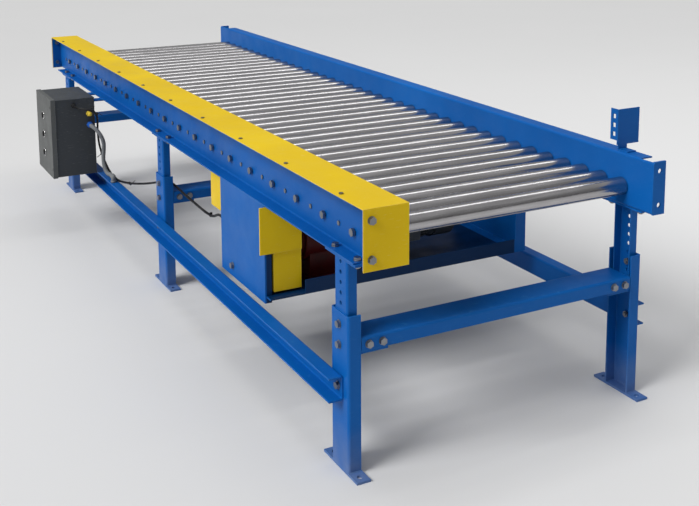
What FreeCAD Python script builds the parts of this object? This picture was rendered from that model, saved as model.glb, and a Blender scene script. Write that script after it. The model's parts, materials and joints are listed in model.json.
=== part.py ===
import FreeCAD, Part
import math
import os

from FreeCAD import Vector

os.makedirs("parts", exist_ok=True)

# Powered roller conveyor: a chain-driven bed of rollers between two steel side channels, on three
# pairs of bolted legs, with a gearmotor slung below and a push-button enclosure on the drive side.
# X runs along the bed and -Y is the drive side with the chain guard. Pieces are drawn about the bed's
# own centre line; export moves them by BED_Y, so that the origin is under the middle of the whole
# outline, on the floor. All sizes are in millimetres.

# Bed
BED_LENGTH = 3048.0
BED_WIDTH = 880.0
RAIL_TOP = 664.0
RAIL_HEIGHT = 140.0
RAIL_FLANGE = 41.5
RAIL_SHEET = 3.5
RAIL_BEND = 4.0
FRONT_COPE = 50.0
REAR_COPE = 95.0
BUTT_PLATE = 6.0
BUTT_HOLE = 7.0
BUTT_HOLE_INSET = 25.0
BOLT_LINE = 19.0
TIE_X = (1300.0, 440.0, -440.0, -1150.0)
TIE_WIDTH = 60.0
TIE_HEIGHT = 18.0
TIE_SHEET = 4.0

# Rollers
ROLLER_COUNT = 38
ROLLER_PITCH = 76.2
ROLLER_RADIUS = 24.15
TUBE_WALL = 1.65
ROLLER_TOP = 600.0
TUBE_NEAR_END = -352.0
TUBE_FAR_END = 396.0
BORE_RADIUS = 6.7
HUB_RADIUS = 15.0
AXLE_FLATS = 11.0
AXLE_END = 405.0

# Chain and sprockets, 12.7 mm pitch
CHAIN_PITCH = 12.7
TEETH = 12
TOOTH_WIDTH = 7.2
TIP_RADIUS = 27.3
SEAT_RADIUS = 4.05
TIP_HALF_WIDTH = 1.3
LINK_GAP = 4.2
LINK_SHEET = 2.4
LINK_HALF_HEIGHT = 6.0
CHAIN_PLANES = (-384.0, -368.0)
DRIVE_PLANE = -350.0
DRIVE_ROLLER = 7
DRIVE_CENTRES = 14 * CHAIN_PITCH

# Legs
LEG_X = (1405.0, 65.0, -1275.0)
LOWER_WIDTH = 86.0
LOWER_FLANGE = 34.0
LOWER_SHEET = 4.0
LOWER_TOP = 390.0
UPPER_WIDTH = 62.0
UPPER_FLANGE = 26.0
UPPER_SHEET = 3.0
UPPER_BOTTOM = 292.0
FOOT_LENGTH = 172.0
FOOT_WIDTH = 36.0
PLATE = 6.0
HOLE_FIRST = 310.0
HOLE_STEP = 25.0
HOLE_COUNT = 9
ANCHOR_OFFSET = 65.0
ANCHOR_HOLE = 7.0
CLAMP_HOLES = (0, 2)
TOP_PLATE_LENGTH = 150.0
TOP_BOLT_OFFSET = 55.0

# Braces between the legs
BRACE_TOP = 335.0
BRACE_HEIGHT = 34.0
STRINGER_BOTTOM = 180.0
STRINGER_HEIGHT = 60.0
STRINGER_FLANGE = 38.0
STRINGER_OVERHANG = 20.0
CLIP_INNER = 332.0
CLIP_OUTER = 432.0
CLIP_BOTTOM = 293.0
CLIP_SHEET = 5.0
CLIP_BOLT_Y = (385.0, 349.0)
CLIP_BOLT_DROP = 19.0

# Drive unit
TRAY_X = (654.0, 996.0)
TRAY_Z = 268.0
TRAY_SHEET = 4.0
TRAY_LIP = 40.0
SIDE_PLATE_X = (650.0, 970.0)
SIDE_PLATE_BOTTOM = 252.0
FAR_PLATE_FLANGE = 36.0
TENSIONER = (737.0, 285.0)
GEARBOX_RADIUS = 74.0
GEARBOX_Y = (-305.0, -130.0)
SHAFT_RADIUS = 14.7
MOTOR_RADIUS = 68.0
MOTOR_LENGTH = 250.0
COWL_LENGTH = 62.0
FIN_COUNT = 24

# Guards
GUARD_SHEET = 2.0
GUARD_WIDTH = 117.0
GUARD_PROUD = 2.0
GUARD_CAP_BOTTOM = 522.0
SCREW_FIRST_X = 1395.0
SCREW_STEP = 305.0
SCREW_COUNT = 10
DRIVE_GUARD_UPPER = ((500.0, 970.0), (-414.0, -332.0), (400.0, 520.0))
DRIVE_GUARD_DROP = ((822.0, 970.0), (-414.0, -332.0), (280.0, 400.0))
DRIVE_GUARD_LID = ((970.0, 974.0), (-454.0, -332.0), (390.0, 520.0))

# Control enclosure
BOX_X = (-866.0, -612.0)
BOX_Y = (-635.0, -483.0)
BOX_Z = (240.0, 545.0)
BOX_SHEET = 2.0
DOOR_DEPTH = 18.0
BUTTON_STEP = 75.0
BUTTON_RADIUS = 11.0
HINGE_OFFSET = (5.0, 6.0)
KNUCKLE_RADIUS = 4.0
KNUCKLE_Z = (280.0, 475.0)

# Sensor plate on the far channel
SENSOR_X = 1378.0
SENSOR_Y = (404.0, 478.0)
SENSOR_Z = (678.0, 774.0)
SENSOR_SHEET = 3.0
SENSOR_FLANGE = 28.0
SENSOR_FOOT_Y = (408.0, 438.0)
SENSOR_FOOT_LENGTH = 38.0

# Cables: each route is a list of (x, y, z) from the gland that it leaves to the gland that it enters
GLAND_HOLE = 6.2
GLAND_THREAD = 6.0
POWER_GLAND = (-565.0, 520.0)
CAPPED_GLAND = (-506.0, 482.0)
CONDUIT_GLAND = (-504.0, 438.0)
PLATE_GLAND = (-428.0, 397.0)
ELBOW = (-440.0, -464.0, 262.0)
POWER_CABLE_RADIUS = 4.0
POWER_CABLE_ROUTE = [
    (-590, -565, 520), (-560, -565, 520), (-534, -552, 519), (-524, -526, 514), (-536, -502, 503),
    (-560, -487, 484), (-583, -480, 452), (-597, -478, 408), (-598, -474, 358), (-592, -464, 312),
    (-575, -454, 276), (-540, -449, 253), (-490, -447, 245), (-428, -446, 247), (-355, -441, 257),
    (-270, -431, 273), (-186, -415, 292), (-110, -403, 313), (-44, -396, 335), (14, -394, 349),
    (70, -393, 353), (135, -394, 350), (210, -396, 347), (295, -400, 349), (385, -408, 354),
    (470, -416, 361), (536, -422, 371), (577, -426, 388), (603, -428, 397), (628, -428, 397)]
CONDUIT_RADIUS = 8.0
CONDUIT_ROUTE = [
    (-588, -504, 438), (-562, -504, 438), (-540, -496, 430), (-530, -481, 406), (-535, -471, 376),
    (-552, -468, 344), (-565, -468, 310), (-559, -468, 282), (-538, -467, 263), (-509, -465, 256),
    (-484, -464, 262), (-460, -464, 262)]

BOLT = 5.0
BOLT_HOLE = 5.5
WASHER = 1.5
HEAD_FLATS = 16.0
HEAD_HEIGHT = 6.5
CLEAR = 0.6

HALF_LENGTH = BED_LENGTH / 2
HALF_WIDTH = BED_WIDTH / 2
RAIL_BOTTOM = RAIL_TOP - RAIL_HEIGHT
WEB_INNER = HALF_WIDTH - RAIL_FLANGE
WEB_OUTER = WEB_INNER + RAIL_SHEET
AXIS_Z = ROLLER_TOP - ROLLER_RADIUS
FIRST_ROLLER_X = (ROLLER_COUNT - 1) * ROLLER_PITCH / 2
ROLLER_X = [FIRST_ROLLER_X - i * ROLLER_PITCH for i in range(ROLLER_COUNT)]
PITCH_RADIUS = CHAIN_PITCH / 2 / math.sin(math.pi / TEETH)
DRIVE_X = ROLLER_X[DRIVE_ROLLER]
DRIVE_Z = AXIS_Z - DRIVE_CENTRES
OUTLINE_Y = (BOX_Y[0] - DOOR_DEPTH - 9.0, HALF_WIDTH + STRINGER_FLANGE)
BED_Y = -(OUTLINE_Y[0] + OUTLINE_Y[1]) / 2
BOX_MID_X = (BOX_X[0] + BOX_X[1]) / 2
BOX_MID_Z = (BOX_Z[0] + BOX_Z[1]) / 2

AXIS = {"x": Vector(1, 0, 0), "y": Vector(0, 1, 0), "z": Vector(0, 0, 1)}
SIDES = (-1, 1)


def block(x, y, z):
    """Box between two values on each axis, given in either order."""
    low = [min(pair) for pair in (x, y, z)]
    size = [abs(pair[1] - pair[0]) for pair in (x, y, z)]
    return Part.makeBox(size[0], size[1], size[2], Vector(low[0], low[1], low[2]))


def rod(radius, start, axis, length):
    """Cylinder from a start point along x, y or z; a negative length runs the other way."""
    direction = AXIS[axis] if length > 0 else AXIS[axis] * -1
    return Part.makeCylinder(radius, abs(length), Vector(*start), direction)


def ring(outer, inner, start, axis, length):
    return rod(outer, start, axis, length).cut(rod(inner, start, axis, length))


def prism(flats, start, axis, length):
    """Hexagonal bar, its flats that far apart."""
    radius = flats / math.sqrt(3)
    along = AXIS[axis]
    across = AXIS["x"] if axis != "x" else AXIS["y"]
    other = along.cross(across)
    centre = Vector(*start)
    points = []
    for i in range(7):
        angle = math.radians(60 * i + 30)
        points.append(centre + across * (radius * math.cos(angle)) + other * (radius * math.sin(angle)))
    return Part.Face(Part.makePolygon(points)).extrude(along * length)


def mirrored(shape):
    """The same piece on the other side of the bed."""
    return shape.mirror(Vector(0, 0, 0), AXIS["y"])


def long_edges(bar, y):
    """The two edges of a bar that run along X at its lowest y."""
    return [edge for edge in bar.Edges if edge.BoundBox.XLength > 1 and edge.BoundBox.YMax < y + 0.1]


def channel(length, height, flange, sheet, bend):
    """Folded channel along +X: its back is the plane y = 0 and its flanges point to +Y."""
    outside = block((0, length), (0, flange), (0, height))
    outside = outside.makeFillet(bend + sheet, long_edges(outside, 0))
    inside = block((0, length), (sheet, flange + 1), (sheet, height - sheet))
    inside = inside.makeFillet(bend, long_edges(inside, sheet))
    return outside.cut(inside)


def along_z(shape):
    """Turn a bar that runs along +X so that it runs along +Z, its height towards -X."""
    turned = shape.copy()
    turned.rotate(Vector(0, 0, 0), AXIS["y"], -90)
    return turned


def moved(shape, x=0.0, y=0.0, z=0.0):
    copy = shape.copy()
    copy.translate(Vector(x, y, z))
    return copy


def bolt(start, axis, grip, direction=1):
    """Hex bolt with washer, shank and nut; start is where its washer meets the outer face."""
    pieces = []
    spans = [(-HEAD_HEIGHT - WASHER, -WASHER), (grip, grip + HEAD_HEIGHT),
             (-WASHER, 0.0), (0.0, grip + HEAD_HEIGHT + 3.0)]
    makers = [(prism, HEAD_FLATS), (prism, HEAD_FLATS), (rod, HEAD_FLATS * 0.62), (rod, BOLT)]
    for (low, high), (make, size) in zip(spans, makers):
        base = Vector(*start) + AXIS[axis] * (low if direction > 0 else -high)
        pieces.append(make(size, (base.x, base.y, base.z), axis, high - low))
    return pieces[0].multiFuse(pieces[1:])


def tube_along(points, radius):
    """Round cable along straight runs joined by tangent arcs; also the radius of every arc."""
    corners = [Vector(*point) for point in points]
    edges = []
    radii = []
    reached = corners[0]
    for before, corner, after in zip(corners, corners[1:], corners[2:]):
        into = (corner - before).normalize()
        out = (after - corner).normalize()
        turn = into.getAngle(out)
        tangent = 0.45 * min(corner.distanceToPoint(before), corner.distanceToPoint(after))
        bend = tangent / math.tan(turn / 2)
        middle = corner + (out - into).normalize() * (bend / math.cos(turn / 2) - bend)
        start = corner - into * tangent
        end = corner + out * tangent
        edges.append(Part.LineSegment(reached, start).toShape())
        edges.append(Part.Arc(start, middle, end).toShape())
        radii.append(bend)
        reached = end
    edges.append(Part.LineSegment(reached, corners[-1]).toShape())
    path = Part.Wire(edges)
    section = Part.Wire([Part.makeCircle(radius, corners[0], corners[1] - corners[0])])
    return path.makePipeShell([section], True, True), path.Length, radii


def export(name, shapes):
    """Write one named piece, or one group of like pieces, as a STEP file."""
    shape = shapes[0] if len(shapes) == 1 else Part.makeCompound(shapes)
    moved(shape, y=BED_Y).exportStep("parts/" + name + ".step")


def tooth_face(teeth, radius):
    """Sprocket outline in the XZ plane: round seats for the chain rollers between narrow teeth."""
    edges = []
    tips = []
    for k in range(teeth):
        seat = math.radians(360.0 / teeth * k)
        tip = math.radians(360.0 / teeth * (k + 0.5))
        out = Vector(math.cos(seat), 0, math.sin(seat))
        side = Vector(-math.sin(seat), 0, math.cos(seat))
        centre = out * radius
        edges.append((centre - side * SEAT_RADIUS, centre - out * SEAT_RADIUS, centre + side * SEAT_RADIUS))
        tip_out = Vector(math.cos(tip), 0, math.sin(tip))
        tip_side = Vector(-math.sin(tip), 0, math.cos(tip))
        tip_at = tip_out * (radius + TIP_RADIUS - PITCH_RADIUS)
        tips.append((tip_at - tip_side * TIP_HALF_WIDTH, tip_at + tip_side * TIP_HALF_WIDTH))
    outline = []
    for k in range(teeth):
        first, middle, last = edges[k]
        following = edges[(k + 1) % teeth][0]
        outline.append(Part.Arc(first, middle, last).toShape())
        outline.append(Part.makeLine(last, tips[k][0]))
        outline.append(Part.makeLine(tips[k][0], tips[k][1]))
        outline.append(Part.makeLine(tips[k][1], following))
    return Part.Face(Part.Wire(outline))


def sprocket(y, x=0.0, z=0.0):
    plate = tooth_face(TEETH, PITCH_RADIUS).extrude(Vector(0, TOOTH_WIDTH, 0))
    return moved(plate, x, y - TOOTH_WIDTH / 2, z)


def roller_at_origin(planes, tube_start):
    """Tube, far bearing cap, and the near bearing hub that carries the sprockets."""
    inner = ROLLER_RADIUS - TUBE_WALL
    tube = ring(ROLLER_RADIUS, inner, (0, tube_start, 0), "y", TUBE_FAR_END - tube_start)
    cap = ring(inner, BORE_RADIUS, (0, TUBE_FAR_END - 12, 0), "y", 10)
    hub_start = -WEB_INNER + 3
    hub = rod(HUB_RADIUS, (0, hub_start, 0), "y", tube_start - hub_start)
    plug = rod(inner, (0, tube_start, 0), "y", 12)
    hub = hub.multiFuse([plug] + [sprocket(y) for y in planes])
    hub = hub.cut(rod(BORE_RADIUS, (0, hub_start - 1, 0), "y", tube_start + 14 - hub_start))
    return [tube, cap, hub]


def make_rollers():
    plain = roller_at_origin(CHAIN_PLANES, TUBE_NEAR_END)
    driven = roller_at_origin(CHAIN_PLANES + (DRIVE_PLANE,), TUBE_NEAR_END + 12)
    for i, x in enumerate(ROLLER_X):
        pieces = driven if i == DRIVE_ROLLER else plain
        export("roller_%02d" % (i + 1), [moved(piece, x, 0, AXIS_Z) for piece in pieces])


def make_axles():
    axles = [prism(AXLE_FLATS, (x, -AXLE_END, AXIS_Z), "y", 2 * AXLE_END) for x in ROLLER_X]
    export("roller_axles", axles)


def racetrack(radius, centres, start_y, depth):
    """Flat loop plate round two centres on the X axis, the first at x = 0."""
    ends = [rod(radius, (x, start_y, 0), "y", depth) for x in (0, centres)]
    middle = block((0, centres), (start_y, start_y + depth), (-radius, radius))
    return ends[0].multiFuse([ends[1], middle]).removeSplitter()


def chain_loop(centres):
    """One endless chain as two rows of link plates, joined by the link rollers of its free spans."""
    pieces = []
    for start in (-LINK_GAP - LINK_SHEET, LINK_GAP):
        outer = racetrack(PITCH_RADIUS + LINK_HALF_HEIGHT, centres, start, LINK_SHEET)
        inner = racetrack(PITCH_RADIUS - LINK_HALF_HEIGHT, centres, start - 1, LINK_SHEET + 2)
        pieces.append(outer.cut(inner))
    links = round(centres / CHAIN_PITCH)
    for k in range(2, links - 1):
        for z in (-PITCH_RADIUS, PITCH_RADIUS):
            pieces.append(rod(CHAIN_PITCH * 0.31, (k * CHAIN_PITCH, -LINK_GAP, z), "y", 2 * LINK_GAP))
    return pieces[0].multiFuse(pieces[1:])


def make_chains():
    loop = chain_loop(ROLLER_PITCH)
    loops = []
    for i in range(ROLLER_COUNT - 1):
        loops.append(moved(loop, ROLLER_X[i + 1], CHAIN_PLANES[i % 2], AXIS_Z))
    drive = chain_loop(DRIVE_CENTRES)
    drive.rotate(Vector(0, 0, 0), AXIS["y"], -90)
    loops.append(moved(drive, DRIVE_X, DRIVE_PLANE, DRIVE_Z))
    export("roller_chains", loops)


def butt_hole_z():
    return (RAIL_BOTTOM + BUTT_HOLE_INSET, RAIL_TOP - BUTT_HOLE_INSET)


def far_channel():
    """Side channel with its back to the rollers, its flanges cut back at both ends, and butt plates."""
    rail = moved(channel(BED_LENGTH, RAIL_HEIGHT, RAIL_FLANGE, RAIL_SHEET, RAIL_BEND),
                 -HALF_LENGTH, WEB_INNER, RAIL_BOTTOM)
    flange_y = (WEB_OUTER, HALF_WIDTH + 1)
    cuts = []
    for end, cope in ((1, FRONT_COPE), (-1, REAR_COPE)):
        cope_x = (end * (HALF_LENGTH - cope), end * (HALF_LENGTH + 1))
        cuts.append(block(cope_x, flange_y, (RAIL_BOTTOM - 1, RAIL_TOP + 1)))
    for x in ROLLER_X:
        cuts.append(prism(AXLE_FLATS + CLEAR, (x, WEB_INNER - 5, AXIS_Z), "y", 15))
    for x in LEG_X:
        for offset in (-TOP_BOLT_OFFSET, TOP_BOLT_OFFSET):
            cuts.append(rod(BOLT_HOLE, (x + offset, HALF_WIDTH - BOLT_LINE, RAIL_BOTTOM - 2), "z", 10))
    rail = rail.cut(Part.makeCompound(cuts))
    plates = []
    for end in SIDES:
        plate = block((end * HALF_LENGTH, end * (HALF_LENGTH - BUTT_PLATE)),
                      (WEB_OUTER, HALF_WIDTH), (RAIL_BOTTOM, RAIL_TOP))
        for z in butt_hole_z():
            hole = rod(BUTT_HOLE, (end * HALF_LENGTH - 10, HALF_WIDTH - BOLT_LINE, z), "x", 20)
            plate = plate.cut(hole)
        plates.append(plate)
    return [rail] + plates


def make_side_channels():
    far = far_channel()
    export("side_channels", far + [mirrored(shape) for shape in far])


def make_cross_members():
    """Shallow folded ties between the side channels, clear of the chains above them."""
    members = []
    across = (-WEB_INNER, WEB_INNER)
    for x in TIE_X:
        half = TIE_WIDTH / 2
        tie = block((x - half, x + half), across, (RAIL_BOTTOM, RAIL_BOTTOM + TIE_HEIGHT))
        trough = block((x - half + TIE_SHEET, x + half - TIE_SHEET), across,
                       (RAIL_BOTTOM + TIE_SHEET, RAIL_BOTTOM + TIE_HEIGHT))
        members.append(tie.cut(trough))
    export("bed_cross_members", members)


def far_leg(x):
    """Lower channel on a foot plate, with the drilled upper channel telescoped inside it."""
    lower = along_z(channel(LOWER_TOP - PLATE, LOWER_WIDTH, LOWER_FLANGE, LOWER_SHEET, 3))
    lower = moved(mirrored(lower), x + LOWER_WIDTH / 2, HALF_WIDTH, PLATE)
    upper_length = RAIL_BOTTOM - PLATE - UPPER_BOTTOM
    upper = along_z(channel(upper_length, UPPER_WIDTH, UPPER_FLANGE, UPPER_SHEET, 3))
    upper = moved(mirrored(upper), x + UPPER_WIDTH / 2, HALF_WIDTH - LOWER_SHEET, UPPER_BOTTOM)
    for k in range(HOLE_COUNT):
        hole = rod(BOLT_HOLE, (x, HALF_WIDTH - 12, HOLE_FIRST + k * HOLE_STEP), "y", 20)
        upper = upper.cut(hole)
        if k in CLAMP_HOLES:
            lower = lower.cut(hole)
    stringer_hole = rod(BOLT_HOLE, (x, HALF_WIDTH - 12, STRINGER_BOTTOM + STRINGER_HEIGHT / 2), "y", 20)
    lower = lower.cut(stringer_hole)
    foot = block((x - FOOT_LENGTH / 2, x + FOOT_LENGTH / 2), (HALF_WIDTH - FOOT_WIDTH, HALF_WIDTH),
                 (0, PLATE))
    top = block((x - TOP_PLATE_LENGTH / 2, x + TOP_PLATE_LENGTH / 2),
                (HALF_WIDTH - FOOT_WIDTH, HALF_WIDTH - 2), (RAIL_BOTTOM - PLATE, RAIL_BOTTOM))
    for side in SIDES:
        anchor = (x + side * ANCHOR_OFFSET, HALF_WIDTH - FOOT_WIDTH / 2, -1)
        foot = foot.cut(rod(ANCHOR_HOLE, anchor, "z", 10))
        top_bolt = (x + side * TOP_BOLT_OFFSET, HALF_WIDTH - BOLT_LINE, RAIL_BOTTOM - 10)
        top = top.cut(rod(BOLT_HOLE, top_bolt, "z", 20))
    return [lower, upper, foot, top]


def make_legs():
    pieces = []
    for x in LEG_X:
        leg = far_leg(x)
        pieces += leg + [mirrored(shape) for shape in leg]
    export("legs", pieces)


def cross_brace(x):
    """Inverted channel between a pair of legs, bolted to a clip plate welded inside each leg."""
    length = 2 * (HALF_WIDTH - LOWER_FLANGE - 2)
    bar = channel(length, LOWER_WIDTH, BRACE_HEIGHT, LOWER_SHEET, 3)
    bar.rotate(Vector(0, 0, 0), AXIS["z"], 90)
    bar.rotate(Vector(0, 0, 0), AXIS["y"], -90)
    bar = moved(bar, x + LOWER_WIDTH / 2, -length / 2, BRACE_TOP)
    clips = []
    face = x + LOWER_WIDTH / 2 - LOWER_SHEET
    for side in SIDES:
        clip = block((face - CLIP_SHEET, face), (side * CLIP_INNER, side * CLIP_OUTER),
                     (CLIP_BOTTOM, BRACE_TOP - LOWER_SHEET))
        for y in CLIP_BOLT_Y:
            hole = rod(BOLT_HOLE, (x, side * y, BRACE_TOP - CLIP_BOLT_DROP), "x", LOWER_WIDTH)
            clip = clip.cut(hole)
            bar = bar.cut(moved(hole, LOWER_WIDTH / 4))
        clips.append(clip)
    return [bar] + clips


def make_stand_braces():
    pieces = []
    for x in LEG_X:
        pieces += cross_brace(x)
    start = LEG_X[-1] - STRINGER_OVERHANG
    end = LEG_X[0] + STRINGER_OVERHANG
    stringer = moved(channel(end - start, STRINGER_HEIGHT, STRINGER_FLANGE, LOWER_SHEET, 3),
                     start, HALF_WIDTH, STRINGER_BOTTOM)
    for x in LEG_X:
        hole = rod(BOLT_HOLE, (x, HALF_WIDTH - 12, STRINGER_BOTTOM + STRINGER_HEIGHT / 2), "y", 30)
        stringer = stringer.cut(hole)
    pieces += [stringer, mirrored(stringer)]
    export("stand_braces", pieces)


def leg_bolts(x, side):
    """Fasteners of one leg: telescope clamps, stringer, rail and cross brace."""
    found = []
    for k in CLAMP_HOLES:
        found.append(bolt((x, side * HALF_WIDTH, HOLE_FIRST + k * HOLE_STEP), "y",
                          LOWER_SHEET + UPPER_SHEET, -side))
    stringer_face = (x, side * (HALF_WIDTH + LOWER_SHEET), STRINGER_BOTTOM + STRINGER_HEIGHT / 2)
    found.append(bolt(stringer_face, "y", 2 * LOWER_SHEET, -side))
    for offset in (-TOP_BOLT_OFFSET, TOP_BOLT_OFFSET):
        seat = (x + offset, side * (HALF_WIDTH - BOLT_LINE), RAIL_BOTTOM + RAIL_SHEET)
        found.append(bolt(seat, "z", RAIL_SHEET + PLATE, -1))
    for y in CLIP_BOLT_Y:
        seat = (x + LOWER_WIDTH / 2, side * y, BRACE_TOP - CLIP_BOLT_DROP)
        found.append(bolt(seat, "x", LOWER_SHEET + CLIP_SHEET, -1))
    return found


def make_bolts():
    """Every hex fastener of the bed and stand, and the screws and end bolts of the chain guard."""
    pieces = [bolt((TENSIONER[0], -HALF_WIDTH, TENSIONER[1]), "y", TRAY_SHEET)]
    for side in SIDES:
        head_y = AXLE_END if side > 0 else -AXLE_END - HEAD_HEIGHT
        for x in ROLLER_X[::2]:
            pieces.append(prism(HEAD_FLATS + 2, (x, head_y, AXIS_Z), "y", HEAD_HEIGHT))
        for x in LEG_X:
            pieces += leg_bolts(x, side)
    for k in range(SCREW_COUNT):
        seat = (SCREW_FIRST_X - k * SCREW_STEP, -HALF_WIDTH + 12, RAIL_TOP + GUARD_SHEET)
        pieces.append(rod(5.5, seat, "z", 3))
    for end in SIDES:
        for z in butt_hole_z():
            seat = (end * (HALF_LENGTH + GUARD_SHEET), -HALF_WIDTH + BOLT_LINE, z)
            pieces.append(bolt(seat, "x", GUARD_SHEET + BUTT_PLATE, -end))
    export("frame_bolts", pieces)


def make_chain_guard():
    """Folded cover over the chains of the drive side, with a plate closing each end."""
    outer = -HALF_WIDTH - GUARD_PROUD
    inner = outer + GUARD_WIDTH
    top = block((-HALF_LENGTH, HALF_LENGTH), (outer, inner), (RAIL_TOP, RAIL_TOP + GUARD_SHEET))
    skirt = block((-HALF_LENGTH, HALF_LENGTH), (inner - GUARD_SHEET, inner), (ROLLER_TOP + 4, RAIL_TOP))
    caps = []
    for end in SIDES:
        cap = block((end * HALF_LENGTH, end * (HALF_LENGTH + GUARD_SHEET)), (outer, inner),
                    (GUARD_CAP_BOTTOM, RAIL_TOP + GUARD_SHEET))
        for z in butt_hole_z():
            cap = cap.cut(rod(BOLT_HOLE, (end * HALF_LENGTH - 5, -HALF_WIDTH + BOLT_LINE, z), "x", 10))
        caps.append(cap)
    export("chain_guard", [top.multiFuse([skirt] + caps).removeSplitter()])


def make_drive_frame():
    """Tray below the bed, hung from the two side channels by a folded plate on each side."""
    sheet = TRAY_SHEET
    far_inner = WEB_OUTER - sheet
    ends = (TRAY_X[0], TRAY_X[1] - sheet)
    tray = block(TRAY_X, (-HALF_WIDTH + sheet, far_inner), (TRAY_Z, TRAY_Z + sheet))
    lips = [block((x, x + sheet), (DRIVE_GUARD_UPPER[1][1], far_inner), (TRAY_Z, TRAY_Z + TRAY_LIP))
            for x in ends]
    tray = tray.multiFuse(lips).removeSplitter()
    outer = -HALF_WIDTH
    plate = block(SIDE_PLATE_X, (outer, outer + sheet), (SIDE_PLATE_BOTTOM, RAIL_BOTTOM))
    flanges = [block((x, x + sheet), (outer, outer + 20), (SIDE_PLATE_BOTTOM, RAIL_BOTTOM))
               for x in (SIDE_PLATE_X[0], SIDE_PLATE_X[1] - sheet)]
    ledge = block(SIDE_PLATE_X, (outer, -WEB_OUTER), (RAIL_BOTTOM - sheet, RAIL_BOTTOM))
    plate = plate.multiFuse(flanges + [ledge]).removeSplitter()
    notch = block((TRAY_X[0] - 1, TRAY_X[1] + 1), (outer + sheet, outer + 21), (TRAY_Z, TRAY_Z + sheet))
    tensioner_hole = rod(BOLT_HOLE, (TENSIONER[0], outer - 1, TENSIONER[1]), "y", 10)
    gland_hole = rod(GLAND_HOLE, (SIDE_PLATE_X[0] - 1, PLATE_GLAND[0], PLATE_GLAND[1]), "x", 10)
    plate = plate.cut(notch.multiFuse([tensioner_hole, gland_hole]))
    far_plate = block(TRAY_X, (far_inner, WEB_OUTER), (TRAY_Z, RAIL_BOTTOM))
    far_ledge = block(TRAY_X, (far_inner, HALF_WIDTH), (RAIL_BOTTOM - sheet, RAIL_BOTTOM))
    far_flanges = [block((x, x + sheet), (WEB_OUTER - FAR_PLATE_FLANGE, WEB_OUTER),
                         (TRAY_Z + TRAY_LIP, RAIL_BOTTOM)) for x in ends]
    far_plate = far_plate.multiFuse(far_flanges + [far_ledge]).removeSplitter()
    export("drive_frame", [tray, plate, far_plate])


def make_gear_reducer():
    """In-line gear case on a cast foot, bored for its output shaft."""
    floor = TRAY_Z + TRAY_SHEET
    near, far = GEARBOX_Y
    case = rod(GEARBOX_RADIUS, (DRIVE_X, near, DRIVE_Z), "y", far - near)
    flange = rod(GEARBOX_RADIUS + 11, (DRIVE_X, far - 12, DRIVE_Z), "y", 12)
    boss = rod(38, (DRIVE_X, near - 20, DRIVE_Z), "y", 20)
    cover = rod(GEARBOX_RADIUS - 12, (DRIVE_X, near - 7, DRIVE_Z), "y", 7)
    pedestal = block((DRIVE_X - 60, DRIVE_X + 60), (near + 15, far - 30), (floor, DRIVE_Z))
    foot = block((DRIVE_X - 85, DRIVE_X + 85), (near + 9, far - 24), (floor, floor + 16))
    body = case.multiFuse([flange, boss, cover, pedestal, foot])
    body = body.cut(rod(SHAFT_RADIUS + 0.3, (DRIVE_X, near - 21, DRIVE_Z), "y", 100))
    export("gear_reducer", [body])


def make_motor():
    """Finned totally enclosed motor with its end bells, fan cowl and terminal box."""
    start = GEARBOX_Y[1]
    finish = start + MOTOR_LENGTH
    body = rod(MOTOR_RADIUS - 6, (DRIVE_X, start, DRIVE_Z), "y", MOTOR_LENGTH)
    bells = [rod(MOTOR_RADIUS, (DRIVE_X, start, DRIVE_Z), "y", 28),
             rod(MOTOR_RADIUS, (DRIVE_X, finish - 24, DRIVE_Z), "y", 24)]
    fins = []
    for k in range(FIN_COUNT):
        fin = block((-1.5, 1.5), (start + 28, finish - 24), (MOTOR_RADIUS - 8, MOTOR_RADIUS + 2))
        fin.rotate(Vector(0, 0, 0), AXIS["y"], 360.0 / FIN_COUNT * (k + 0.5))
        fins.append(moved(fin, DRIVE_X, 0, DRIVE_Z))
    cowl = rod(MOTOR_RADIUS + 4, (DRIVE_X, finish, DRIVE_Z), "y", COWL_LENGTH)
    terminal = block((DRIVE_X + 48, DRIVE_X + 104), (start + 70, start + 170), (DRIVE_Z - 42, DRIVE_Z + 42))
    export("motor", [body.multiFuse(bells + fins + [cowl, terminal])])


def make_reducer_sprocket():
    """Output shaft of the reducer with its keyed sprocket."""
    shaft_start = DRIVE_PLANE - 16
    shaft = rod(SHAFT_RADIUS, (DRIVE_X, shaft_start, DRIVE_Z), "y", 130)
    hub = rod(SHAFT_RADIUS + 2.3, (DRIVE_X, shaft_start + 4, DRIVE_Z), "y", 30)
    wheel = sprocket(DRIVE_PLANE, DRIVE_X, DRIVE_Z)
    export("reducer_sprocket", [shaft.multiFuse([hub, wheel])])


def make_drive_guard():
    """Sheet box round the drive chain: a long upper part, a drop in front and a plate closing its end."""
    sheet = GUARD_SHEET
    upper, drop = DRIVE_GUARD_UPPER, DRIVE_GUARD_DROP
    outside = block(*upper).multiFuse([block(*DRIVE_GUARD_LID), block(*drop)])
    hollow = []
    for x, y, z in (upper, drop):
        hollow.append(block((x[0] + sheet, x[1] - sheet), (y[0] + sheet, y[1] - sheet),
                            (z[0] + sheet, z[1] + 2 * sheet)))
    shell = outside.cut(hollow[0].fuse(hollow[1])).removeSplitter()
    shell = shell.cut(rod(42, (DRIVE_X, upper[1][1] - 4, DRIVE_Z), "y", 10))
    export("drive_chain_guard", [shell])


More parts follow.
